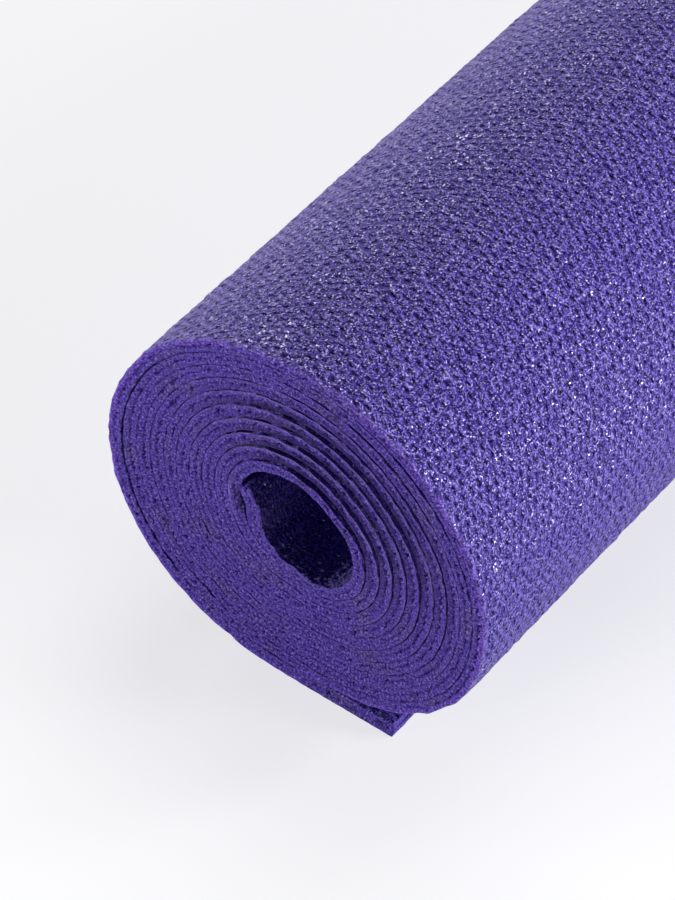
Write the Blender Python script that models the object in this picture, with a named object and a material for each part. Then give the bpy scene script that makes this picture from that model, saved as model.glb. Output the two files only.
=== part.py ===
"""A yoga mat rolled up and lying on its side: two foam layers with a scrim between them, wound as one sheet.

The roll's axis runs along Y. The sheet's inner end is the flap in the bore, and its outer end is the tail that
lies flat under the roll. All lengths are in metres.
"""

import math

import bmesh
import bpy
import numpy as np

# The flat sheet
MAT_LENGTH = 1.83
MAT_WIDTH = 0.61
FOAM_THICKNESS = 0.0008
SCRIM_THICKNESS = 0.0003
LAYER_GAP = 0.0003

# The roll, seen from its -Y end
TURN_GAP = 0.00065
BORE_RADIUS = 0.0104
BORE_OFFSET_X = 0.0012
BORE_OFFSET_Z = 0.0003
OVAL_SWELL = 0.00085
FLOOR_SAG = 0.0021
TAIL_LENGTH = 0.0235
POINTS_PER_TURN = 24

# The flap at the inner end, whose tip stands out and whose length sinks into the bore. The first turns follow it.
# Its shares are of one turn.
FLAP_LIFT = 0.0009
FLAP_DENT = 0.0012
FLAP_TURNS = 6
LIFT_WIDTH_SHARE = 0.05
DENT_PLACE_SHARE = 0.14
DENT_WIDTH_SHARE = 0.095

# Angles in radians
FULL_TURN = 2 * math.pi
TAIL_ANGLE = -math.pi / 2
OVAL_TILT = math.radians(12)
SMOOTH_ANGLE = math.radians(30)

# Steps that settle the number of turns
LENGTH_POINTS_PER_TURN = 96
HALVINGS = 40

SHEET_THICKNESS = 2 * FOAM_THICKNESS + SCRIM_THICKNESS + 2 * LAYER_GAP
TURN_PITCH = SHEET_THICKNESS + TURN_GAP

PURPLE_FOAM = (0.107, 0.072, 0.352, 1.0)
PALE_PURPLE_YARN = (0.208, 0.141, 0.445, 1.0)
FOAM_ROUGHNESS = 0.55
YARN_ROUGHNESS = 0.8


def clear_scene():
    for obj in list(bpy.data.objects):
        bpy.data.objects.remove(obj, do_unlink=True)


def material(name, colour, roughness):
    made = bpy.data.materials.new(name)
    made.use_nodes = True
    shader = made.node_tree.nodes["Principled BSDF"]
    shader.inputs["Base Color"].default_value = colour
    shader.inputs["Roughness"].default_value = roughness
    shader.inputs["Metallic"].default_value = 0.0
    return made


def bump(turn, place, width):
    """A smooth bump of height 1 at this place, measured in turns."""
    return np.exp(-(((turn - place) / width) ** 2))


def flap_shape(turn):
    """How far a turn follows the flap under it, outwards over its tip and inwards along its length."""
    past_tip = turn - np.round(turn)
    lift = FLAP_LIFT * bump(past_tip, 0, LIFT_WIDTH_SHARE)
    dent = FLAP_DENT * bump(past_tip, DENT_PLACE_SHARE, DENT_WIDTH_SHARE)
    return (lift - dent) * np.clip(1 - turn / FLAP_TURNS, 0, 1)


def spiral_radius(turn):
    return BORE_RADIUS + SHEET_THICKNESS / 2 + TURN_PITCH * turn


def floor_height(turns, turn):
    """Where a turn is pressed level under the roll, worked out at its lowest point so that it is level along it."""
    lowest_turn = turns - np.round(turns - turn)
    return FLOOR_SAG * lowest_turn / turns - spiral_radius(lowest_turn)


def winding(turns, per_turn):
    """The middle of the sheet from the flap to where the tail begins, as X and Z about the outer turn's centre."""
    turn = np.linspace(0, turns, round(turns * per_turn) + 1)
    angle = TAIL_ANGLE - FULL_TURN * (turns - turn)
    outwards = turn / turns
    swell = OVAL_SWELL * outwards * np.cos(2 * (angle - OVAL_TILT))
    radius = spiral_radius(turn) + swell + flap_shape(turn)
    x = radius * np.cos(angle) + BORE_OFFSET_X * (1 - outwards)
    z = np.maximum(radius * np.sin(angle), floor_height(turns, turn)) + BORE_OFFSET_Z * (1 - outwards)
    return np.stack([x, z], axis=1)


def path_length(path):
    return np.linalg.norm(np.diff(path, axis=0), axis=1).sum()


def turns_of_mat():
    """The number of turns that uses up the mat's length, less its tail."""
    wound = MAT_LENGTH - TAIL_LENGTH
    fewest = 0
    most = wound / (FULL_TURN * BORE_RADIUS)
    for _ in range(HALVINGS):
        turns = (fewest + most) / 2
        if path_length(winding(turns, LENGTH_POINTS_PER_TURN)) < wound:
            fewest = turns
        else:
            most = turns
    return turns


def sheet_path():
    """The middle of the sheet from the flap's tip to the tail's end."""
    wound = winding(turns_of_mat(), POINTS_PER_TURN)
    tail_end = wound[-1] + (TAIL_LENGTH, 0)
    return np.vstack([wound, tail_end])


def outward_mitres(path):
    """For each point, the step that moves both of its chords outwards by one unit."""
    chords = np.diff(path, axis=0)
    chords /= np.linalg.norm(chords, axis=1)[:, None]
    normals = np.stack([chords[:, 1], -chords[:, 0]], axis=1)
    before = np.vstack([normals[:1], normals])
    after = np.vstack([normals, normals[-1:]])
    middle = before + after
    middle /= np.linalg.norm(middle, axis=1)[:, None]
    return middle / (middle * before).sum(axis=1)[:, None]


def sheet_side(path, outwards):
    return path + outward_mitres(path) * outwards


def lying_on_floor(path):
    """The path moved so that the sheet's box is centred on X and stands on Z = 0."""
    faces = np.vstack([sheet_side(path, -SHEET_THICKNESS / 2), sheet_side(path, SHEET_THICKNESS / 2)])
    low = faces.min(axis=0)
    high = faces.max(axis=0)
    return path - ((low[0] + high[0]) / 2, low[1])


def distances_to_chords(points, path):
    """The distance of each point to each chord of the path."""
    start = path[:-1]
    chord = np.diff(path, axis=0)
    reach = points[:, None] - start[None]
    along = (reach * chord).sum(axis=2) / (chord * chord).sum(axis=1)
    off = reach - np.clip(along, 0, 1)[..., None] * chord
    return np.linalg.norm(off, axis=2)


def least_gap(path):
    """The least gap from a turn's outer face to the inner face of the turn round it."""
    inner = sheet_side(path, -SHEET_THICKNESS / 2)
    outer = sheet_side(path, SHEET_THICKNESS / 2)
    point = np.arange(len(path))[:, None]
    chord = np.arange(len(path) - 1)[None]
    half_turn = POINTS_PER_TURN / 2
    outwards = distances_to_chords(outer, inner)[chord - point > half_turn].min()
    inwards = distances_to_chords(inner, outer)[point - chord > half_turn].min()
    return min(outwards, inwards)


def layer(name, path, inner_offset, outer_offset, look):
    """One layer of the wound sheet: its strip on the near end of the roll, extruded to the far end."""
    mesh = bpy.data.meshes.new(name)
    shape = bmesh.new()
    near_y = -MAT_WIDTH / 2
    inner = [shape.verts.new((x, near_y, z)) for x, z in sheet_side(path, inner_offset)]
    outer = [shape.verts.new((x, near_y, z)) for x, z in sheet_side(path, outer_offset)]
    for i in range(len(path) - 1):
        shape.faces.new((inner[i], inner[i + 1], outer[i + 1], outer[i]))
    grown = bmesh.ops.extrude_face_region(shape, geom=shape.faces[:])["geom"]
    far_points = [item for item in grown if isinstance(item, bmesh.types.BMVert)]
    bmesh.ops.translate(shape, verts=far_points, vec=(0, MAT_WIDTH, 0))
    bmesh.ops.recalc_face_normals(shape, faces=shape.faces[:])
    shape.to_mesh(mesh)
    shape.free()
    mesh.shade_smooth()
    mesh.set_sharp_from_angle(angle=SMOOTH_ANGLE)
    mesh.materials.append(look)
    obj = bpy.data.objects.new(name, mesh)
    bpy.context.collection.objects.link(obj)
    return obj


def build_mat():
    path = lying_on_floor(sheet_path())
    outer_foam = material("outer_vinyl_foam", PURPLE_FOAM, FOAM_ROUGHNESS)
    inner_foam = material("inner_vinyl_foam", PURPLE_FOAM, FOAM_ROUGHNESS)
    yarn = material("polyester_yarn", PALE_PURPLE_YARN, YARN_ROUGHNESS)
    half_scrim = SCRIM_THICKNESS / 2
    foam_face = half_scrim + LAYER_GAP
    outside = SHEET_THICKNESS / 2
    layer("outer_foam_layer", path, foam_face, outside, outer_foam)
    layer("polyester_scrim", path, -half_scrim, half_scrim, yarn)
    layer("inner_foam_layer", path, -outside, -foam_face, inner_foam)
    print("turns of the roll", round(turns_of_mat(), 4))
    print("least gap between turns in metres", round(float(least_gap(path)), 6))


clear_scene()
build_mat()
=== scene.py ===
import math

import bpy
import numpy as np
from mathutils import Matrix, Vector


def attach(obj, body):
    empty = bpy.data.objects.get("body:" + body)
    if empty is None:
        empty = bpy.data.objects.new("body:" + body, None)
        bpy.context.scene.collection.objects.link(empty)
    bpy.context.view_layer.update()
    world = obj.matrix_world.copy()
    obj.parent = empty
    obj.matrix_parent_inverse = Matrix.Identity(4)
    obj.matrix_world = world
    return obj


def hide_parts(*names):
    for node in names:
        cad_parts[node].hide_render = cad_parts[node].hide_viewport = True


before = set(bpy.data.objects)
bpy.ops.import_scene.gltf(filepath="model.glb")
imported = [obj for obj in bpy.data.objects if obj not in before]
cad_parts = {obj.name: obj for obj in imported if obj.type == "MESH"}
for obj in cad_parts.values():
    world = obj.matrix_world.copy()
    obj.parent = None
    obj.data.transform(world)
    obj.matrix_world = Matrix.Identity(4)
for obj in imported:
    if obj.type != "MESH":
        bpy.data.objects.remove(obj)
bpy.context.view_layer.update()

# The flat sheet, in metres
MAT_WIDTH = 0.61
SHEET_THICKNESS = 0.003
SCRIM_THICKNESS = 0.0001
SCRIM_ROOM = 0.00007
SCRIM_INSET = 0.0011
HIDDEN_SIDE_INSET = SCRIM_INSET + 0.0003

# The roll, seen from its -Y end. Its outline is the last turn, from under the tail round to the tail:
# how far it lies from this point at these angles, as shares of the point's height.
CENTRE_X = 0.00167
CENTRE_Z = 0.04287
TURNS = 10.289
TURN_PITCH = 0.0031
TAIL_LENGTH = 0.0226
FULL_TURN = 2 * math.pi
MM_PER_METRE = 1000
TAIL_ANGLE = math.radians(270)
OUTLINE_DEGREES = (
    -90, -80, -70, -60, -50, -40, -30, -15, 0, 30, 60, 80, 100, 120,
    140, 155, 170, 180, 190, 200, 210, 220, 230, 240, 250, 260, 270,
)
OUTLINE_SHARES = (
    0.924, 0.938, 0.961, 0.982, 0.997, 1.005, 1.010, 1.005, 0.998, 1.005, 1.017, 1.017, 1.017, 1.022,
    1.031, 1.036, 1.056, 1.071, 1.080, 1.087, 1.089, 1.085, 1.071, 1.052, 1.032, 1.015, 1.0,
)

# How finely the winding is worked out, and how often its outline and its path are smoothed
PER_TURN = 720
TAIL_POINTS = 81
OUTLINE_SMOOTHING = 60
PATH_SMOOTHING = 12

# Where the wound sheet is pressed thinner or fuller. Each has its place and width in degrees,
# and its size in metres.
PRESSED = (274, 34, -0.00030)
EASED = (207, 36, 0.00018)
DRAWN = (158, 24, -0.00007)

# How fast, for each turn inwards from the tail, the sheet comes to be held and its free swell fades
HOLD_RISE = 8
HOLD_START = 0.4
SWELL_FULL = 1.2
SWELL_FADE = 14

# The sheet lies free, and so is fuller, at its tail and along its flap.
# Places along it are turns inwards from the tail.
TAIL_SWELL = 0.00045
FLAP_PLACE = 10.2
FLAP_WIDTH = 0.05
FLAP_SWELL = 0.00045
FLAP_LIFT = 0.0010
FLAP_LIFT_TURNS = 0.05

# The loose side of the roll, in degrees: what the turns lose in thickness there, and the gaps between them
LOOSE_PLACE = 64
LOOSE_WIDTH = 58
THINNED_TURNS = (0.9, 1.1, 2.9, 4.0)
THINNED_SIZES = (0.00040, 0.00015, 0.00015, 0.0007)
LOOSE_FROM = 2.6
LOOSE_GAPS = (0.00005, 0.0005, 0.0014, 0.0008, 0.0014, 0.0014, 0.0015)
TURN_GAP = 0.00002

# Slots that gape between two turns: over the tail, along the outer turns, and behind the flap
SLOTS = (
    (0.030, 0.012, 0.00060),
    (0.200, 0.120, 0.00060),
    (0.625, 0.060, 0.00040),
    (0.806, 0.060, 0.00010),
    (1.101, 0.014, 0.00060),
    (1.590, 0.080, 0.00042),
    (2.620, 0.170, 0.00042),
    (9.235, 0.035, 0.00100),
)

# Painted shade and painted light on the cut edge where a gap this wide lies open inside it: how dark it is
# painted from its inner rim to its outer one.
# Below 0 it is painted lighter.
OPEN_GAP = 0.0008
OPEN_RISE_TURNS = 0.3
SHADE_HEIGHTS = (-1, -0.6, 0.4, 0.8, 1)
SHADES = (1, 0.9, 0, 0, -0.9)

# The outer turns stand out towards the near end, so that it is hollow like a shallow cone
STEP_OUT = 0.0003
FIRST_STEP = -0.5
STEPPED_TURNS = 3.7

# The pressed grain: rows of dimples that bend a little, and the pebbles between them
DIMPLE_ACROSS = 0.0023
DIMPLE_ALONG = 0.0042
DIMPLE_DEPTH = 0.00017
DIMPLE_REACH = 0.1
DIMPLE_ROUNDNESS = 1.3
PEBBLE_HEIGHT = 0.00009
WARP = 0.00045
BENDS = (0.0137, 0.0113)
SLOW_BENDS = (0.0171, 0.0157)
BEND_SWING = 2.0

# The grid on the sheet: three steps from one dimple to the next along the sheet and across it,
# and coarser where a turn hides the face
STEPS_PER_DIMPLE = 3
STATION_STEP = DIMPLE_ALONG / 2 / STEPS_PER_DIMPLE
FINE_COLUMN = DIMPLE_ACROSS / STEPS_PER_DIMPLE
HIDDEN_INSETS = (0.003, 0.005, 0.008, 0.013, 0.022, 0.04)
BORE_INSETS = (*np.arange(0.0024, 0.05, 0.0015), 0.06, 0.08)
SCRIM_STEP = 2

# How many turns of each layer show their face: the outermost, the tail, and the wall of the bore
FINE_TURNS = 1.06
TAIL_TURNS = 0.03
BORE_TURNS = 1.02

# The cut edge, from the middle of the sheet to its face
RIM_INSETS = (0.0, 0.0, 0.0, 0.00001, 0.00004, 0.00012, 0.0003, 0.0016)
RIM_HEIGHT_SHARES = (0.0, 0.3, 0.6, 0.8, 0.9, 0.965, 0.99, 1.0)
FLAT_POINTS = 3
TIGHT_GAP = 0.0005
TIGHT_ROUNDNESS = 0.2
FREE_ROUNDNESS = 1.8
RIM_SPREAD = 1.5
SMOOTH_RIM = 0.0012
RIM_WAVE_HEIGHT = 0.00011
RIM_WAVE_REACH = 0.004
GRAIN_START = 0.0002
HELD_GRAIN = 0.35
FREE_GRAIN = 0.6
CUT_INSETS = (0.00001, 0.0001)
CUT_WAVE_DEPTH = 0.00006
CUT_ROUGHNESS = 0.00008
END_INSETS = (0.0, 0.00004, 0.00012, 0.0003)
END_SHARES = (0.8, 0.92, 0.98, 1.0)
END_CUTS = (1, 0.8, 0)
FLOOR_TOUCH = 0.00002

# Pinholes in the cut edge, where yarn ends and torn bubbles are: how deep, and how many stations apart
PIT_DEPTH = 0.0009
SHALLOWEST_PIT = 0.45
PIT_MARGIN = 4
MIDDLE_PIT_SPACING = (2, 5)
OFF_PIT_SPACING = (4, 14)
SIDES = ("near", "far")
FIELDS = ("cut", "pit", "rim", "shade", "edge")
SEED = 7


def bell(value, place, width):
    return np.exp(-(((value - place) / width) ** 2))


def round_bell(angle, degrees, width):
    off = (np.degrees(angle) - degrees + 180) % 360 - 180
    return np.exp(-((off / width) ** 2))


def local_thickness(inward, angle):
    """The sheet's thickness: pressed where the turns round it hold it, and fuller where it lies free."""
    pressed = sum(size * round_bell(angle, place, width) for place, width, size in (PRESSED, EASED, DRAWN))
    held = np.clip(inward * HOLD_RISE - HOLD_START, 0, 1)
    tail = TAIL_SWELL * np.clip(SWELL_FULL - inward * SWELL_FADE, 0, 1)
    free = tail + FLAP_SWELL * bell(inward, FLAP_PLACE, FLAP_WIDTH)
    thinned = np.interp(inward, THINNED_TURNS, THINNED_SIZES) * round_bell(angle, LOOSE_PLACE, LOOSE_WIDTH)
    return SHEET_THICKNESS + pressed * held + free - thinned


def gap_inside(inward, angle):
    """The gap between a turn and the next one in, where inward counts turns from the tail."""
    loose = np.interp(inward, LOOSE_FROM + np.arange(len(LOOSE_GAPS)), LOOSE_GAPS)
    gap = TURN_GAP + loose * round_bell(angle, LOOSE_PLACE, LOOSE_WIDTH)
    for place, width, size in SLOTS:
        gap = gap + size * bell(inward, place, width)
    return gap


def smoothed(values, passes):
    """Each value drawn towards its neighbours along the first axis, with the ends held."""
    for _ in range(passes):
        middle = (values[:-2] + 2 * values[1:-1] + values[2:]) / 4
        values = np.concatenate([values[:1], middle, values[-1:]])
    return values


def winding():
    """Turns counted inwards from the tail, with the angle and the radius of the sheet's middle.

    It starts from the outline, and each turn lies against the one round it, so that turns never overlap.
    """
    inward = np.arange(round(TURNS * PER_TURN) + 1) / PER_TURN
    angle = TAIL_ANGLE - FULL_TURN * inward
    outside = np.interp(angle, np.radians(OUTLINE_DEGREES), np.array(OUTLINE_SHARES) * CENTRE_Z)
    outside[:PER_TURN] = smoothed(outside[:PER_TURN], OUTLINE_SMOOTHING)
    thickness = local_thickness(inward, angle)
    gap = gap_inside(inward, angle)
    for k in range(PER_TURN + 1, len(inward)):
        outside[k] = outside[k - PER_TURN] - thickness[k - PER_TURN] - gap[k - PER_TURN]
    to_tip = np.clip(1 - (TURNS - inward) / FLAP_LIFT_TURNS, 0, 1)
    return inward, angle, outside - thickness / 2 + FLAP_LIFT * to_tip**2


def recession(turn, height):
    """How far a point of the sheet lies back at the near end.

    It follows from the point's turn and its height over the sheet's middle.
    """
    return STEP_OUT * np.clip(TURNS - turn - height / TURN_PITCH, FIRST_STEP, STEPPED_TURNS)


def rim_roundness(gap):
    """How round a rim is: sharp where the next turn holds it, and round where it is free."""
    return np.clip(gap / TIGHT_GAP, TIGHT_ROUNDNESS, 1)


def sheet_stations():
    """Stations along the sheet, each with its place along it, its turn, its middle point, its outward normal,
    half its thickness, how round its outer and inner rims are, and how open the gap inside it is.
    """
    inward, angle, radius = (values[::-1] for values in winding())
    path = np.stack([radius * np.cos(angle), radius * np.sin(angle)], axis=1)
    tail_steps = np.linspace(0, TAIL_LENGTH, TAIL_POINTS)[1:]
    free = np.ones(len(tail_steps))
    tail_half = free * local_thickness(0.0, TAIL_ANGLE) / 2
    tail = np.stack([tail_steps, tail_half - CENTRE_Z], axis=1)
    path = smoothed(np.vstack([path, tail]), PATH_SMOOTHING)
    gap = gap_inside(inward, angle)
    has_turn_inside = inward < TURNS - 1
    opened = np.clip(gap / OPEN_GAP, 0, 1)
    opened = opened * np.clip((inward - LOOSE_FROM + OPEN_RISE_TURNS / 2) / OPEN_RISE_TURNS, 0, 1)
    turn = np.concatenate([TURNS - inward, TURNS * free])
    half = np.concatenate([local_thickness(inward, angle) / 2, tail_half])
    outer_rim = np.concatenate([np.where(inward < 1, FREE_ROUNDNESS, TIGHT_ROUNDNESS), free])
    inner_rim = np.concatenate([np.where(inward > TURNS - 1, 1.0, rim_roundness(gap)), free])
    opened = np.concatenate([opened * has_turn_inside, 0 * free])
    along = np.concatenate([[0], np.cumsum(np.linalg.norm(np.diff(path, axis=0), axis=1))])
    length = along[-1]
    print("length of the wound sheet", round(float(length), 4))
    stations = np.arange(STATION_STEP, length - STATION_STEP, STATION_STEP)
    stations = np.concatenate([END_INSETS, stations, length - np.array(END_INSETS[::-1])])
    slope = np.gradient(path, along, axis=0)
    slope = np.stack([np.interp(stations, along, slope[:, k]) for k in (0, 1)], axis=1)
    slope /= np.linalg.norm(slope, axis=1)[:, None]
    middle = np.stack([np.interp(stations, along, path[:, k]) for k in (0, 1)], axis=1)
    normal = np.stack([slope[:, 1], -slope[:, 0]], axis=1)
    rest = [np.interp(stations, along, values) for values in (half, outer_rim, inner_rim, opened)]
    return stations, np.interp(stations, along, turn), middle + (CENTRE_X, CENTRE_Z), normal, *rest


STATIONS, TURN, MIDDLE, NORMAL, HALF, OUTER_RIM, INNER_RIM, OPENED = sheet_stations()
rng = np.random.default_rng(SEED)


def raised(rows, height, y):
    """Points on these stations at this height over the sheet's middle, with this place along the roll."""
    x = MIDDLE[rows, 0] + height * NORMAL[rows, 0]
    z = MIDDLE[rows, 1] + height * NORMAL[rows, 1]
    return np.stack([x, y, z], axis=-1)


def columns(face_insets):
    """Places across one side of a layer: how far each is from the near edge, and its height share."""
    rim = np.array(RIM_INSETS)
    shares = np.array(RIM_HEIGHT_SHARES)
    across = np.concatenate([rim, face_insets, MAT_WIDTH - rim[::-1]])
    share = np.concatenate([shares, np.ones(len(face_insets)), shares[::-1]])
    return across, share


def columns_at_ends(insets):
    near = np.array(insets)
    return columns(np.concatenate([near, MAT_WIDTH - near[::-1]]))


def face_columns():
    room = MAT_WIDTH - 2 * RIM_INSETS[-1]
    count = round(room / FINE_COLUMN)
    return columns(RIM_INSETS[-1] + np.arange(1, count) * room / count)


def noise_grid(rows, cols):
    """Random heights with neighbours alike, about 1 high."""
    field = rng.standard_normal((rows, cols))
    field = smoothed(smoothed(field, 1).T, 1).T
    return field / field.std()


def wave(passes):
    """Random heights along the sheet, about 1 high."""
    field = smoothed(rng.standard_normal(len(STATIONS)), passes)
    return field / field.std()


def dimples(across, along):
    """The pressed grain: how deep the sheet's face lies below its highest, from 0 to 1."""
    warp_a = np.sin(along / BENDS[0] + BEND_SWING * np.sin(across / SLOW_BENDS[0])) * WARP
    warp_b = np.sin(across / BENDS[1] + BEND_SWING * np.sin(along / SLOW_BENDS[1])) * WARP
    wave_a = np.cos(FULL_TURN * (across + warp_a) / DIMPLE_ACROSS)
    wave_b = np.cos(FULL_TURN * (along + warp_b) / DIMPLE_ALONG)
    return np.clip((wave_a * wave_b + DIMPLE_REACH) / (1 + DIMPLE_REACH), 0, 1) ** DIMPLE_ROUNDNESS


def pinholes(shortest, longest):
    """Depths from 0 to 1 of the pinholes along one row of the cut edge, this many stations apart."""
    depths = np.zeros(len(STATIONS))
    place = PIT_MARGIN
    while place < len(STATIONS) - PIT_MARGIN:
        depths[place] = rng.uniform(SHALLOWEST_PIT, 1)
        place += int(rng.integers(shortest, longest))
    return depths


RIM_WAVES = {side: wave(2) for side in SIDES}
CUT_WAVES = {side: wave(1) for side in SIDES}
MIDDLE_PITS = {side: pinholes(*MIDDLE_PIT_SPACING) for side in SIDES}
OFF_PITS = {(side, sign): pinholes(*OFF_PIT_SPACING) for side in SIDES for sign in (1, -1)}


def layer_points(rows, across, share, sign):
    """Points of one side of a layer on these stations, with the fields that its material reads.

    The flat of the cut edge comes first, then its rim, then the face, and the same again backwards.
    """
    rows = rows[:, None]
    along = STATIONS[rows]
    roundness = (OUTER_RIM if sign > 0 else INNER_RIM)[rows]
    free_rim = roundness > 1
    spread = np.where(free_rim, 1 + (roundness - 1) * RIM_SPREAD, roundness)
    column = np.minimum(np.arange(len(across)), np.arange(len(across))[::-1])[None]
    rim = (column >= FLAT_POINTS) & (column < len(RIM_INSETS) - 1)
    side_inset = np.minimum(across, MAT_WIDTH - across)[None]
    inset = np.where(rim, side_inset * spread, side_inset)
    near = np.broadcast_to(across[None] < MAT_WIDTH / 2, inset.shape)
    flat_across = np.where(near, inset, MAT_WIDTH - inset)
    height_share = np.where(rim, 1 - (1 - share[None]) * roundness, share[None])
    end_gap = np.minimum(along, STATIONS[-1] - along)
    end_share = np.interp(end_gap, END_INSETS, END_SHARES)

    def by_side(values):
        return np.where(near, values["near"][rows], values["far"][rows])

    grain = np.clip((inset - GRAIN_START) / SMOOTH_RIM, np.where(free_rim, FREE_GRAIN, HELD_GRAIN), 1)
    depth = DIMPLE_DEPTH * dimples(flat_across, along) * grain
    rough = PEBBLE_HEIGHT * noise_grid(len(rows), len(across)) * grain
    rim_wave = by_side(RIM_WAVES) * np.where(free_rim, 1, HELD_GRAIN)
    near_rim = np.clip(1 - inset / RIM_WAVE_REACH, 0, 1)
    height = HALF[rows] * height_share * end_share
    height = height + height_share * (-depth + rough + RIM_WAVE_HEIGHT * near_rim * rim_wave)
    cut = np.interp(inset, CUT_INSETS, (1, 0))
    flat_of_cut = (column < FLAT_POINTS).astype(float)
    off_pits = {side: OFF_PITS[side, sign] for side in SIDES}
    pit = by_side(MIDDLE_PITS) * (column == 0) + by_side(off_pits) * (column == 1)
    rough_cut = CUT_ROUGHNESS * noise_grid(len(rows), len(across)) * cut * (column > 0)
    back = PIT_DEPTH * pit + CUT_WAVE_DEPTH * by_side(CUT_WAVES) * flat_of_cut + rough_cut
    y = flat_across + np.where(near, back, -back) - MAT_WIDTH / 2 + recession(TURN[rows], sign * height)
    points = raised(rows, sign * height, y)
    points[..., 2] = np.maximum(points[..., 2], FLOOR_TOUCH)
    return points, {
        "flat_mm": np.stack([flat_across, along + 0 * flat_across, sign * height], axis=-1) * MM_PER_METRE,
        "cut": np.maximum(cut, np.interp(end_gap, END_INSETS[: len(END_CUTS)], END_CUTS)),
        "pit": pit,
        # rim: where the smooth free rim is paler, partly as painted light
        "rim": np.clip(1 - inset / SMOOTH_RIM, 0, 1) * free_rim,
        # shade: painted shade and painted light where a gap lies open
        "shade": OPENED[rows] * np.interp(sign * height_share, SHADE_HEIGHTS, SHADES),
        # edge: where the painted shade of a tight seam lies
        "edge": np.where(roundness < 1, height_share, 0),
    }


def strips(first, second, first_places, second_places, flip):
    """Triangles between two rows of points that run the same way, each joined to what lies beside it."""
    faces = []
    i = j = 0
    while i < len(first) - 1 or j < len(second) - 1:
        first_is_next = i < len(first) - 1 and (
            j == len(second) - 1 or first_places[i + 1] <= second_places[j + 1]
        )
        if first_is_next:
            face = (first[i], first[i + 1], second[j])
            i += 1
        else:
            face = (first[i], second[j + 1], second[j])
            j += 1
        faces.append(face[::-1] if flip else face)
    return faces


def build_layer(name, sign, column_sets, kind_of):
    """One foam layer: a closed skin over its face, its cut edges and the hidden side that meets the scrim."""
    kinds = np.array([kind_of(turn) for turn in TURN])
    blocks = []
    starts = {}
    total = 0
    for kind, (across, share) in column_sets.items():
        rows = np.flatnonzero(kinds == kind)
        breaks = np.flatnonzero(np.diff(rows) > 1) + 1
        for run in np.split(rows, breaks):
            blocks.append(layer_points(run, across, share, sign))
            for n, row in enumerate(run):
                starts[int(row)] = (total + n * len(across), len(across))
            total += len(run) * len(across)
    quads = []
    triangles = []
    rows = np.arange(len(STATIONS))
    for row in rows[:-1]:
        start, count = starts[row]
        next_start, next_count = starts[row + 1]
        if count == next_count:
            k = np.arange(count - 1)
            quads.append(np.stack([start + k, start + k + 1, next_start + k + 1, next_start + k], axis=1))
        else:
            places = [column_sets[kinds[r]][0] for r in (row, row + 1)]
            lines = range(start, start + count), range(next_start, next_start + next_count)
            triangles += strips(*lines, *places, False)
    hidden = []
    hidden_places = (HIDDEN_SIDE_INSET, MAT_WIDTH - HIDDEN_SIDE_INSET)
    for place in hidden_places:
        hidden.append(total + rows)
        total += len(rows)
        points = raised(rows, sign * SCRIM_ROOM, place - MAT_WIDTH / 2 + recession(TURN, 0))
        flat = np.stack([place + 0 * STATIONS, STATIONS, sign * SCRIM_ROOM + 0 * STATIONS], axis=-1)
        flat = flat * MM_PER_METRE
        plain = {field: 0 * STATIONS for field in FIELDS}
        blocks.append((points, plain | {"flat_mm": flat, "cut": np.ones(len(rows))}))
    near_edge = np.array([starts[row][0] for row in rows])
    far_edge = np.array([sum(starts[row]) - 1 for row in rows])
    under = [near_edge, hidden[0], hidden[1], far_edge]
    for left, right in zip(under[:-1], under[1:]):
        quads.append(np.stack([left[:-1], left[1:], right[1:], right[:-1]], axis=1))
    under_places = (0, *hidden_places, MAT_WIDTH)
    for row, flip in ((0, False), (len(rows) - 1, True)):
        start, count = starts[row]
        places = column_sets[kinds[row]][0]
        beneath = [int(line[row]) for line in under]
        cap = strips(beneath, range(start, start + count), under_places, places, flip)
        triangles += [face for face in cap if len(set(face)) == 3]
    points = np.vstack([block[0].reshape(-1, 3) for block in blocks])
    fields = {"flat_mm": np.vstack([block[1]["flat_mm"].reshape(-1, 3) for block in blocks])}
    for field in FIELDS:
        fields[field] = np.concatenate([np.ravel(block[1][field]) for block in blocks])
    quads = np.vstack(quads)
    triangles = np.array(triangles).reshape(-1, 3)
    if sign < 0:
        quads = quads[:, ::-1]
        triangles = triangles[:, ::-1]
    print(name, "has", 2 * len(quads) + len(triangles), "triangles")
    return mesh_object(name, points, quads, triangles, fields)


def mesh_object(name, points, quads, triangles, fields):
    mesh = bpy.data.meshes.new(name)
    mesh.vertices.add(len(points))
    mesh.vertices.foreach_set("co", points.astype(np.float32).ravel())
    corners = np.concatenate([quads.ravel(), triangles.ravel()]).astype(np.int32)
    sizes = np.concatenate([np.full(len(quads), 4), np.full(len(triangles), 3)])
    mesh.loops.add(len(corners))
    mesh.loops.foreach_set("vertex_index", corners)
    mesh.polygons.add(len(sizes))
    mesh.polygons.foreach_set("loop_start", (np.cumsum(sizes) - sizes).astype(np.int32))
    for field, values in fields.items():
        kind = "FLOAT_VECTOR" if values.ndim == 2 else "FLOAT"
        layer = mesh.attributes.new(field, kind, "POINT")
        layer.data.foreach_set("vector" if values.ndim == 2 else "value", values.astype(np.float32).ravel())
    mesh.update(calc_edges=True)
    mesh.validate()
    mesh.shade_smooth()
    obj = bpy.data.objects.new(name, mesh)
    bpy.context.collection.objects.link(obj)
    return obj


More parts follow.
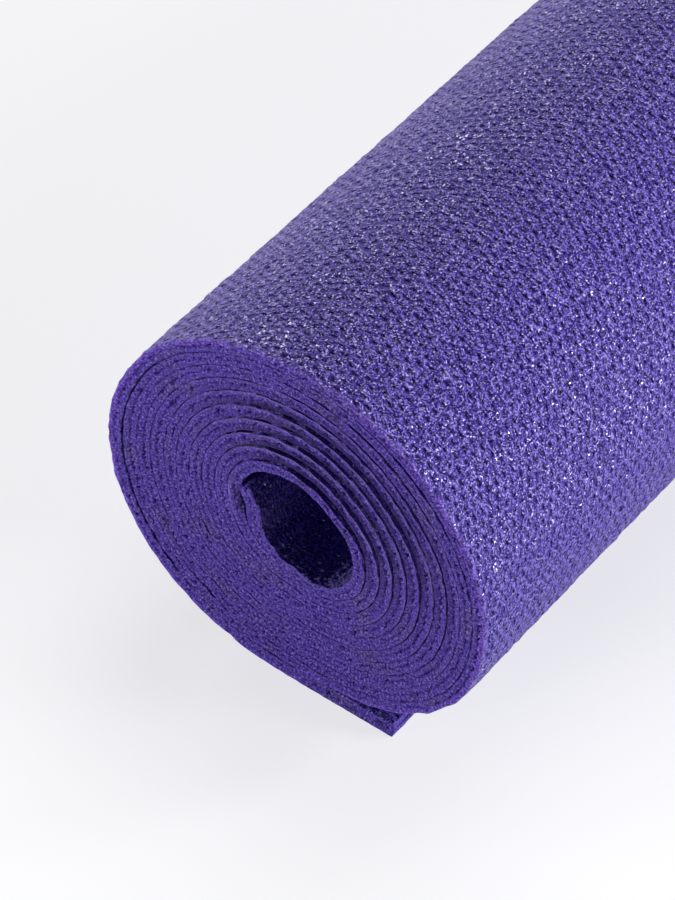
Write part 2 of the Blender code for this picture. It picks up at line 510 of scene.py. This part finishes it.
def build_scrim():
    """The mesh of yarn, as a thin closed ribbon between the two foam layers."""
    rows = np.arange(0, len(STATIONS), SCRIM_STEP)
    half = SCRIM_THICKNESS / 2
    far_inset = MAT_WIDTH - SCRIM_INSET
    lines = []
    for side, inset in ((1, SCRIM_INSET), (1, far_inset), (-1, far_inset), (-1, SCRIM_INSET)):
        lines.append(raised(rows, side * half, inset - MAT_WIDTH / 2 + recession(TURN[rows], 0)))
    count = len(rows)
    k = np.arange(count - 1)
    quads = []
    for side in range(4):
        a = side * count
        b = (side + 1) % 4 * count
        quads.append(np.stack([a + k, b + k, b + k + 1, a + k + 1], axis=1))
    last = count - 1
    first_end = [3 * count, 2 * count, count, 0]
    last_end = [last, count + last, 2 * count + last, 3 * count + last]
    quads.append(np.array([first_end, last_end]))
    along = STATIONS[rows]
    flat = np.tile(np.stack([0 * along, along, 0 * along], axis=-1) * MM_PER_METRE, (4, 1))
    no_triangles = np.zeros((0, 3), int)
    return mesh_object("woven_scrim", np.vstack(lines), np.vstack(quads), no_triangles, {"flat_mm": flat})


# Grain sizes of the foam in millimetres. Its glossy specks are finer than the photograph can show,
# so they are drawn coarser, each about one of its pixels wide.
PEBBLE_MM = 0.36
PEBBLE_SQUASH = 0.9
CELL_MM = 0.95
BUBBLE_MM = 0.5
SPECK_MM = 0.42
DASH_MM = 1.6
PATCH_MM = 14
YARN_MM = 0.95

# The relief of the torn bubbles in metres, and how many times that the skin's pebbles, cells and pits have
GRAIN_RELIEF = 0.00012
PEBBLE_RELIEF = 0.3
CELL_RELIEF = 1.9
PIT_RELIEF = 3.6
PIT_UNEVENNESS = 0.9
PIT_SHARPNESS = 2.0
NOISE_MIDDLE = 0.5

# The levels of its noise, or of its own field, between which each of these goes from none to full
PEBBLE_LEVELS = (0.47, 0.75)
BUBBLE_LEVELS = (0.32, 0.68)
PATCH_LEVELS = (0.5, 0.75)
SPECK_LEVELS = (0.588, 0.638)
DASH_LEVELS = (0.42, 0.6)
DASH_STRENGTHS = (0.2, 0.85)
SEAM_LEVELS = (0.9, 0.96)
PINHOLE_LEVELS = (0.35, 0.65)

# The skin's tone, which paints shade into the hollows and light onto the tops: what the cells add to the
# pebbles, its range and its start, and the painted shade that a pit takes from it
CELL_SHARE = 0.25
TONE_RANGE = 0.80
TONE_START = 0.14
PIT_PAINTED_SHADE = 0.35

# How strongly the cut edge shows the painted shade of an open gap, the painted light on its lip and the
# smooth free rim, paler partly as painted light
SHADE_STRENGTH = 0.9
LIGHT_STRENGTH = 0.8
RIM_OVER_CUT = 0.7

# How rough the skin, its specks and the torn bubbles are, how much each mirrors, and the skin's bloom.
# Usual values for matt and for glossy plastic are the start, and the photograph decides the rest.
SKIN_ROUGHNESS = 0.55
SPECK_ROUGHNESS = 0.18
TORN_ROUGHNESS = 0.9
SKIN_SHINE = 0.07
SPECK_SHINE = 0.9
TORN_SHINE = 0.1
SKIN_BLOOM = 0.32
BLOOM_ROUGHNESS = 0.4

# Vinyl's index is about 1.53. It is raised so that the specks catch the light as in the photograph.
VINYL_IOR = 1.7

# The foam's colours from its hollows to its tops, each with its place on the way up. Besides the foam's own
# mottle, darker in the hollows is painted shade and lighter on the tops is painted light, and the smooth
# rim's colours are paler partly as painted light
SKIN_COLOURS = ((0.0, "#0E0352"), (0.33, "#271474"), (0.66, "#4F3BA4"), (1.0, "#8672D4"))
CUT_COLOURS = ((0.0, "#28156E"), (0.35, "#4C379A"), (0.7, "#6D55BC"), (1.0, "#9B82E0"))
GREYER_CUT_COLOURS = ((0.0, "#281862"), (0.35, "#4F3E8B"), (0.7, "#7260A6"), (1.0, "#9C8BCE"))
PALE_LIT_RIM_COLOURS = ((0.0, "#3A2390"), (0.35, "#6344BE"), (0.7, "#8563D8"), (1.0, "#AC92F0"))
# The specks' lighter colour is a painted highlight over their real gloss
SPECK_HIGHLIGHT_COLOUR = "#8673D2"
# Painted shade along the seam between two turns that lie tight
SEAM_SHADE_COLOUR = "#1A0F52"
# Painted shade in an open gap, and painted light on the lip beside it
SHADED_COLOUR = "#1F1548"
LIT_RIM_COLOUR = "#9A86DC"
# Painted shade inside the pinholes
PINHOLE_SHADE_COLOUR = "#150A4A"
BLOOM_TINT = "#C2B5F2"
YARN_COLOURS = ("#5B49A0", "#8A7AC4")
YARN_ROUGHNESS = 0.8


def linear(code):
    """An sRGB hex colour as linear values, and opaque."""
    parts = [int(code[i : i + 2], 16) / 255 for i in (1, 3, 5)]
    return (*[p / 12.92 if p <= 0.04045 else ((p + 0.055) / 1.055) ** 2.4 for p in parts], 1.0)


def add(tree, kind, inputs=(), out=0, stops=(), **settings):
    """Adds a node with these settings, sets or links its inputs, and returns one of its outputs.

    The stops are those of a colour ramp: each has a place from 0 to 1 and its colour.
    """
    made = tree.nodes.new(kind)
    for name, value in settings.items():
        setattr(made, name, value)
    for name, value in inputs.items() if isinstance(inputs, dict) else enumerate(inputs):
        if isinstance(value, bpy.types.NodeSocket):
            tree.links.new(value, made.inputs[name])
        else:
            made.inputs[name].default_value = value
    while stops and len(made.color_ramp.elements) < len(stops):
        made.color_ramp.elements.new(0.5)
    for n, (place, code) in enumerate(stops):
        made.color_ramp.elements[n].position = place
        made.color_ramp.elements[n].color = linear(code)
    return made.outputs[out]


def new_material(name):
    made = bpy.data.materials.new(name)
    made.use_nodes = True
    tree = made.node_tree
    return made, tree, tree.nodes["Principled BSDF"]


def pressed_pits(tree, place, unevenness):
    """How deep a point of the skin lies in a pit of the pressed grain.

    The pits lie in the dimples of the mesh, and the unevenness makes them unlike each other.
    """
    axes = add(tree, "ShaderNodeSeparateXYZ", (place,)).node.outputs
    waves = []
    for one, other, bend, slow_bend, pitch in (
        (axes["X"], axes["Y"], BENDS[0], SLOW_BENDS[0], DIMPLE_ACROSS),
        (axes["Y"], axes["X"], BENDS[1], SLOW_BENDS[1], DIMPLE_ALONG),
    ):
        slow = add(tree, "ShaderNodeMath", (one, slow_bend * MM_PER_METRE), operation="DIVIDE")
        slow = add(tree, "ShaderNodeMath", (slow,), operation="SINE")
        bent = add(tree, "ShaderNodeMath", (other, bend * MM_PER_METRE), operation="DIVIDE")
        bent = add(tree, "ShaderNodeMath", (slow, BEND_SWING, bent), operation="MULTIPLY_ADD")
        bent = add(tree, "ShaderNodeMath", (bent,), operation="SINE")
        moved = add(tree, "ShaderNodeMath", (bent, WARP * MM_PER_METRE, one), operation="MULTIPLY_ADD")
        turns_per_mm = FULL_TURN / pitch / MM_PER_METRE
        moved = add(tree, "ShaderNodeMath", (moved, turns_per_mm), operation="MULTIPLY")
        waves.append(add(tree, "ShaderNodeMath", (moved,), operation="COSINE"))
    cell = add(tree, "ShaderNodeMath", (*waves, -NOISE_MIDDLE * PIT_UNEVENNESS), operation="MULTIPLY_ADD")
    cell = (unevenness, PIT_UNEVENNESS, cell)
    cell = add(tree, "ShaderNodeMath", cell, operation="MULTIPLY_ADD", use_clamp=True)
    return add(tree, "ShaderNodeMath", (cell, PIT_SHARPNESS), operation="POWER")


def pebbled_skin(tree, place):
    """The skin's colour and its relief: fine pebbles on wider cells, with the pressed pits between them."""
    stretched = add(tree, "ShaderNodeVectorMath", (place, (1.0, PEBBLE_SQUASH, 1.0)), operation="MULTIPLY")
    pebbles = add(
        tree, "ShaderNodeTexNoise",
        {"Vector": stretched, "Scale": 1 / PEBBLE_MM, "Detail": 1.0, "Roughness": 0.5, "Distortion": 0.1},
    )
    cells = add(
        tree, "ShaderNodeTexVoronoi", {"Vector": stretched, "Scale": 1 / CELL_MM, "Randomness": 0.9},
        out="Distance", voronoi_dimensions="2D", feature="F1",
    )
    ridges = add(tree, "ShaderNodeMath", (cells, CELL_SHARE, pebbles), operation="MULTIPLY_ADD")
    tops = add(tree, "ShaderNodeMapRange", (ridges, *PEBBLE_LEVELS))
    pits = pressed_pits(tree, place, pebbles)
    # The tone is painted shade and light: darker where the grain lies low and in the pressed pits, lighter on
    # its tops
    tone = add(tree, "ShaderNodeMath", (tops, TONE_RANGE, TONE_START), operation="MULTIPLY_ADD")
    tone = add(tree, "ShaderNodeMath", (pits, -PIT_PAINTED_SHADE, tone), operation="MULTIPLY_ADD")
    colour = add(tree, "ShaderNodeValToRGB", (tone,), stops=SKIN_COLOURS)
    relief = add(tree, "ShaderNodeMath", (cells, CELL_RELIEF), operation="MULTIPLY")
    relief = add(tree, "ShaderNodeMath", (tops, PEBBLE_RELIEF, relief), operation="MULTIPLY_ADD")
    relief = add(tree, "ShaderNodeMath", (pits, -PIT_RELIEF, relief), operation="MULTIPLY_ADD")
    return colour, relief


def torn_bubbles(tree, place):
    """The cut foam's colour and its relief.

    The colour is darker where the bubbles lie deeper, as painted shade, and greyer in patches. Along the seam
    between two turns that lie tight it has painted shade in dashes, and where a gap lies open, painted shade
    on its inner half and painted light on its lip.
    """
    bubbles = add(
        tree, "ShaderNodeTexNoise",
        {"Vector": place, "Scale": 1 / BUBBLE_MM, "Detail": 2.0, "Roughness": 0.6, "Distortion": 0.2},
    )
    relief = add(tree, "ShaderNodeMapRange", (bubbles, *BUBBLE_LEVELS))
    # The bubbles' colour follows their relief: darker where they lie deeper, as painted shade
    violet = add(tree, "ShaderNodeValToRGB", (relief,), stops=CUT_COLOURS)
    greyer = add(tree, "ShaderNodeValToRGB", (relief,), stops=GREYER_CUT_COLOURS)
    patches = add(tree, "ShaderNodeTexNoise", {"Vector": place, "Scale": 1 / PATCH_MM})
    patches = add(tree, "ShaderNodeMapRange", (patches, *PATCH_LEVELS))
    colour = add(tree, "ShaderNodeMix", {0: patches, 6: violet, 7: greyer}, out=2, data_type="RGBA")
    # Painted shade in dashes along the seam where two turns lie tight
    edge = add(tree, "ShaderNodeAttribute", out="Fac", attribute_name="edge")
    seam = add(tree, "ShaderNodeMapRange", (edge, *SEAM_LEVELS))
    dashes = add(tree, "ShaderNodeTexNoise", {"Vector": place, "Scale": 1 / DASH_MM})
    dashes = add(tree, "ShaderNodeMapRange", (dashes, *DASH_LEVELS, *DASH_STRENGTHS))
    seam = add(tree, "ShaderNodeMath", (seam, dashes), operation="MULTIPLY")
    # Painted shade on the inner half of a cut edge by an open gap, and painted light on its outer lip
    shade = add(tree, "ShaderNodeAttribute", out="Fac", attribute_name="shade")
    dark = add(tree, "ShaderNodeMath", (shade, SHADE_STRENGTH), operation="MULTIPLY", use_clamp=True)
    light = add(tree, "ShaderNodeMath", (shade, -LIGHT_STRENGTH), operation="MULTIPLY", use_clamp=True)
    for share, code in ((seam, SEAM_SHADE_COLOUR), (dark, SHADED_COLOUR), (light, LIT_RIM_COLOUR)):
        colour = add(tree, "ShaderNodeMix", {0: share, 6: colour, 7: linear(code)}, out=2, data_type="RGBA")
    return colour, relief


def vinyl_foam():
    """Expanded vinyl foam, pressed with a grain while warm and then cut.

    To the eye its skin is matt and pebbled, with pits in rows, a soft bloom at grazing angles and
    sparse glossy specks. Its colour has painted shade in its hollows and pits, painted light on its tops
    and a painted highlight on each speck. Where it is cut it shows torn bubbles and no gloss, with painted
    shade in its hollows, pinholes and tight seams, painted shade and light where a gap lies open, and its
    free rim is smooth and paler, partly as painted light.
    """
    made, tree, shader = new_material("expanded_vinyl_foam")
    place = add(tree, "ShaderNodeAttribute", out="Vector", attribute_name="flat_mm")
    cut = add(tree, "ShaderNodeAttribute", out="Fac", attribute_name="cut")
    pit = add(tree, "ShaderNodeAttribute", out="Fac", attribute_name="pit")
    rim = add(tree, "ShaderNodeAttribute", out="Fac", attribute_name="rim")
    skin, skin_relief = pebbled_skin(tree, place)
    torn, torn_relief = torn_bubbles(tree, place)
    # The smooth free rim is paler, partly from its smoother foam and partly as painted light where the round
    # rim catches it
    pale = add(tree, "ShaderNodeValToRGB", (torn_relief,), stops=PALE_LIT_RIM_COLOURS)
    rim_of_cut = add(tree, "ShaderNodeMath", (rim, RIM_OVER_CUT), operation="MULTIPLY")
    specks = add(
        tree, "ShaderNodeTexNoise", {"Vector": place, "Scale": 1 / SPECK_MM, "Detail": 1.0, "Roughness": 0.5}
    )
    speck = add(tree, "ShaderNodeMapRange", (specks, *SPECK_LEVELS))
    # Painted shade in the pinholes, which are also set back in the mesh
    hole = add(tree, "ShaderNodeMapRange", (pit, *PINHOLE_LEVELS))
    skin = add(tree, "ShaderNodeMix", {0: rim, 6: skin, 7: pale}, out=2, data_type="RGBA")
    torn = add(tree, "ShaderNodeMix", {0: rim_of_cut, 6: torn, 7: pale}, out=2, data_type="RGBA")
    # Painted highlight: the specks are made lighter in colour
    skin = add(tree, "ShaderNodeMix", {0: speck, 6: skin, 7: linear(SPECK_HIGHLIGHT_COLOUR)}, out=2, data_type="RGBA")
    colour = add(tree, "ShaderNodeMix", {0: cut, 6: skin, 7: torn}, out=2, data_type="RGBA")
    colour = add(
        tree, "ShaderNodeMix", {0: hole, 6: colour, 7: linear(PINHOLE_SHADE_COLOUR)}, out=2, data_type="RGBA"
    )
    roughness = add(tree, "ShaderNodeMix", {0: speck, 2: SKIN_ROUGHNESS, 3: SPECK_ROUGHNESS})
    roughness = add(tree, "ShaderNodeMix", {0: cut, 2: roughness, 3: TORN_ROUGHNESS})
    shine = add(tree, "ShaderNodeMix", {0: speck, 2: SKIN_SHINE, 3: SPECK_SHINE})
    shine = add(tree, "ShaderNodeMix", {0: cut, 2: shine, 3: TORN_SHINE})
    bloom = add(tree, "ShaderNodeMix", {0: cut, 2: SKIN_BLOOM, 3: 0.0})
    relief = add(tree, "ShaderNodeMix", {0: cut, 2: skin_relief, 3: torn_relief})
    normal = add(tree, "ShaderNodeBump", {"Height": relief, "Distance": GRAIN_RELIEF, "Strength": 1.0})
    for name, value in (
        ("Base Color", colour), ("Roughness", roughness), ("Specular IOR Level", shine),
        ("Sheen Weight", bloom), ("Normal", normal),
    ):
        tree.links.new(value, shader.inputs[name])
    shader.inputs["IOR"].default_value = VINYL_IOR
    shader.inputs["Sheen Roughness"].default_value = BLOOM_ROUGHNESS
    shader.inputs["Sheen Tint"].default_value = linear(BLOOM_TINT)
    return made


def polyester_yarn():
    """Spun polyester, woven open: dull violet threads with no gloss, which the foam hides."""
    made, tree, shader = new_material("woven_polyester_yarn")
    place = add(tree, "ShaderNodeAttribute", out="Vector", attribute_name="flat_mm")
    weave = {"Vector": place, "Scale": math.pi / 10 / YARN_MM, "Distortion": 1.0}
    weave = add(tree, "ShaderNodeTexWave", weave, out="Fac")
    threads = {0: weave, 6: linear(YARN_COLOURS[0]), 7: linear(YARN_COLOURS[1])}
    colour = add(tree, "ShaderNodeMix", threads, out=2, data_type="RGBA")
    tree.links.new(colour, shader.inputs["Base Color"])
    shader.inputs["Roughness"].default_value = YARN_ROUGHNESS
    return made


# The floor and its faint patches in metres, how much of its white shows whatever falls on it,
# and how bright that white is behind the roll and in front of it, where it is brighter as painted light
FLOOR_SIZE = 8
CARD_PATCH = 1.0
CARD_COLOURS = ("#F0F0F3", "#F3F3F5")
CARD_WHITE = "#F9F9FB"
CARD_ROUGHNESS = 0.9
OWN_WHITE_SHARE = 0.6
FRONT_WAY = (0.5, -1.0, 0.0)
FRONT_FROM = 0.27
FRONT_TO = 0.345
WHITE_BEHIND = 1.20
WHITE_AND_PAINTED_LIGHT_IN_FRONT = 1.39

# The light from all round, as it falls on the mat and as it is seen
FILL = 0.015
SEEN_WORLD = 0.95
WORLD_COLOUR = "#F8F9FC"

# Round lamps: the way to each from the floor under the roll's middle, its distance and its size in metres,
# and its power in watts
LAMPS = {
    "glint": ((0.70, 0.53, 0.47), 1.5, 0.34, 7),
    "right_window": ((0.94, 0.30, 0.12), 1.6, 0.4, 23),
    "left_window": ((-0.88, 0.42, 0.25), 1.5, 0.6, 7),
    "overhead": ((-0.18, 0.45, 0.87), 1.5, 1.4, 14.5),
    "front_fill": ((-0.35, -0.98, 0.03), 1.05, 0.05, 3.2),
}

# The camera, as it was fitted to the photograph, with its angles in degrees
CAMERA_PLACE = (0.3070, -0.6935, 0.5882)
CAMERA_DOWN = 46.6
CAMERA_ROUND = 37.3
LENS_MM = 158
FILM_MM = 36
FARTHEST_SEEN = 50


def seen_directly(tree):
    """1 where the camera or a reflection looks, and 0 where light only bounces."""
    path = add(tree, "ShaderNodeLightPath").node.outputs
    seen = add(tree, "ShaderNodeMath", (path["Is Camera Ray"], path["Is Glossy Ray"]), operation="MAXIMUM")
    return add(tree, "ShaderNodeMath", (seen, path["Is Transmission Ray"]), operation="MAXIMUM")


def floor_board():
    """White card: matt and even, and glowing a little brighter in front of the roll as painted light, as in
    the photograph.

    Where it is looked at, most of its white is its own, so that its shadow is faint.
    """
    made, tree, shader = new_material("white_card")
    place = add(tree, "ShaderNodeTexCoord", out="Object")
    grain = add(tree, "ShaderNodeTexNoise", {"Vector": place, "Scale": 1 / CARD_PATCH})
    colour = {0: grain, 6: linear(CARD_COLOURS[0]), 7: linear(CARD_COLOURS[1])}
    colour = add(tree, "ShaderNodeMix", colour, out=2, data_type="RGBA")
    tree.links.new(colour, shader.inputs["Base Color"])
    shader.inputs["Roughness"].default_value = CARD_ROUGHNESS
    own_white = add(tree, "ShaderNodeMath", (seen_directly(tree), OWN_WHITE_SHARE), operation="MULTIPLY")
    # Painted light: the card's own white is brighter in front of the roll
    forward = add(tree, "ShaderNodeVectorMath", (place, FRONT_WAY), out="Value", operation="DOT_PRODUCT")
    strength = (forward, FRONT_FROM, FRONT_TO, WHITE_BEHIND, WHITE_AND_PAINTED_LIGHT_IN_FRONT)
    strength = add(tree, "ShaderNodeMapRange", strength)
    glow = add(tree, "ShaderNodeEmission", {"Color": linear(CARD_WHITE), "Strength": strength})
    both = add(tree, "ShaderNodeMixShader", (own_white, shader.outputs["BSDF"], glow))
    tree.links.new(both, tree.nodes["Material Output"].inputs["Surface"])
    return made


def soft_light(name, direction, distance, size, power):
    lamp = bpy.data.lights.new(name, "AREA")
    lamp.shape = "DISK"
    lamp.size = size
    lamp.energy = power
    obj = bpy.data.objects.new(name, lamp)
    way = np.array(direction) / np.linalg.norm(direction)
    obj.location = tuple(way * distance)
    obj.rotation_euler = Vector(way).to_track_quat("Z", "Y").to_euler()
    bpy.context.collection.objects.link(obj)


def studio():
    bpy.ops.object.select_all(action="DESELECT")
    bpy.ops.mesh.primitive_plane_add(size=FLOOR_SIZE)
    floor = bpy.context.object
    floor.name = "floor"
    floor.data.materials.append(floor_board())
    world = bpy.data.worlds.new("studio")
    bpy.context.scene.world = world
    world.use_nodes = True
    tree = world.node_tree
    strength = add(tree, "ShaderNodeMapRange", (seen_directly(tree), 0.0, 1.0, FILL, SEEN_WORLD))
    tree.links.new(strength, tree.nodes["Background"].inputs["Strength"])
    tree.nodes["Background"].inputs["Color"].default_value = linear(WORLD_COLOUR)
    for name, lamp in LAMPS.items():
        soft_light(name, *lamp)
    camera = bpy.data.cameras.new("camera")
    camera.lens = LENS_MM
    camera.sensor_width = FILM_MM
    camera.clip_end = FARTHEST_SEEN
    obj = bpy.data.objects.new("camera", camera)
    obj.location = CAMERA_PLACE
    obj.rotation_euler = (math.radians(90 - CAMERA_DOWN), 0, math.radians(CAMERA_ROUND))
    bpy.context.collection.objects.link(obj)
    bpy.context.scene.camera = obj
    bpy.context.scene.view_settings.view_transform = "Standard"


def outer_kind(turn):
    return "fine" if turn > TURNS - FINE_TURNS else "coarse"


def inner_kind(turn):
    if turn > TURNS - TAIL_TURNS:
        return "fine"
    return "bore" if turn < BORE_TURNS else "coarse"


column_sets = {"fine": face_columns(), "coarse": columns_at_ends(HIDDEN_INSETS)}
foam = vinyl_foam()
outer = build_layer("outer_foam", 1, column_sets, outer_kind)
inner = build_layer("inner_foam", -1, column_sets | {"bore": columns_at_ends(BORE_INSETS)}, inner_kind)
scrim = build_scrim()
for piece, node in ((outer, "outer_foam_layer"), (inner, "inner_foam_layer")):
    piece.data.materials.append(foam)
    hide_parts(node)
    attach(piece, "root")
scrim.data.materials.append(polyester_yarn())
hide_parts("polyester_scrim")
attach(scrim, "root")
studio()
